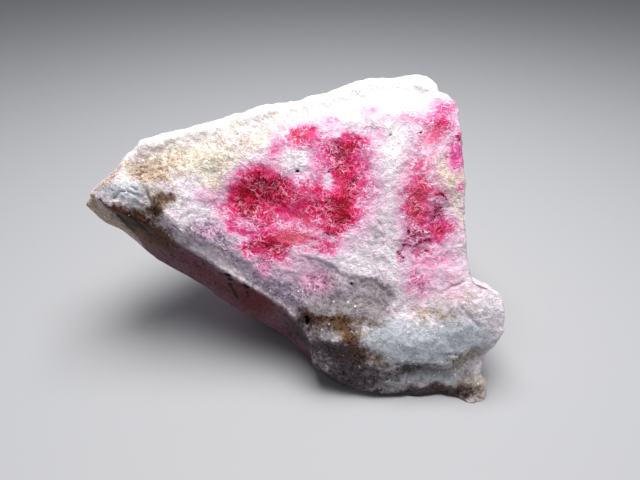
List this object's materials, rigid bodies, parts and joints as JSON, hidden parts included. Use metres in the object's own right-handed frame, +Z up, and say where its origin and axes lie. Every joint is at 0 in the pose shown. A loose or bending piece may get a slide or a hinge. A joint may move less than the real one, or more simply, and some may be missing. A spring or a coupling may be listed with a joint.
{
  "type": "rough tugtupite stone",
  "caption": "Loose kite-shaped piece of rough tugtupite: crimson and pink mineral in white and grey grained rock, lying on a flat underside.",
  "frame": {"origin": "centre of the stone's box at the height of the surface it rests on", "axes": "+X along the stone to the right of its broad red face, +Y away from the viewer of that face, +Z up"},
  "size_m": [0.0308, 0.019, 0.0201],
  "materials": {
    "tugtupite_rock": "sugary broken surface: crimson and pink tugtupite through white, cream and grey grains, with ochre stains"
  },
  "bodies": {
    "root": {"tugtupite_stone": "tugtupite_rock"}
  },
  "joints": []
}
